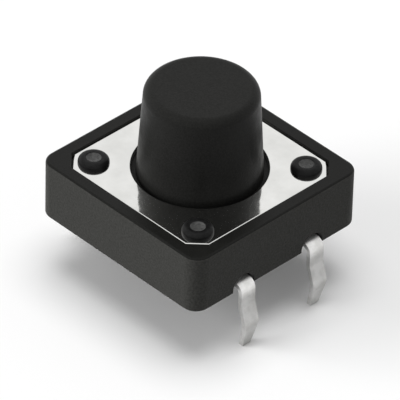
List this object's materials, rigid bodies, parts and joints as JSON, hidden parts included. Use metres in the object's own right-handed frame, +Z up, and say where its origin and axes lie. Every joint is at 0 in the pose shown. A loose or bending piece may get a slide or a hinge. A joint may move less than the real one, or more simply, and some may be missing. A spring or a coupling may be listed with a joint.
{
  "type": "tactile push button switch",
  "caption": "Square through-hole tactile push button switch with a tall round tapered button, a steel cover staked on moulded pegs and kinked snap-in legs.",
  "frame": {"origin": "centre of the base's flat underside, on the upper face of the circuit board", "axes": "+Z up along the button's travel, towards the button's top; the legs leave the base on its -X and +X faces; Y runs along each row of legs"},
  "size_m": [0.0134, 0.012, 0.012],
  "materials": {
    "base_plastic": "black moulded plastic, fine matt texture",
    "button_plastic": "black moulded plastic, smooth matt",
    "cover_steel": "bright rolled stainless sheet, nearly a mirror",
    "dome_steel": "spring sheet with a silver face",
    "terminal_silver": "brass sheet plated with silver, satin"
  },
  "bodies": {
    "housing": {"base": "base_plastic", "cover_plate": "cover_steel", "terminal_centre": "terminal_silver", "terminal_outer": "terminal_silver", "contact_dome": "dome_steel"},
    "plunger": {"button": "button_plastic"}
  },
  "joints": [
    {"name": "button_press", "type": "slide", "parent": "housing", "child": "plunger", "axis": [0, 0, -1], "range_m": [0, 0.0003], "stiffness_N_per_m": 5000, "deforming": ["contact_dome"]}
  ]
}
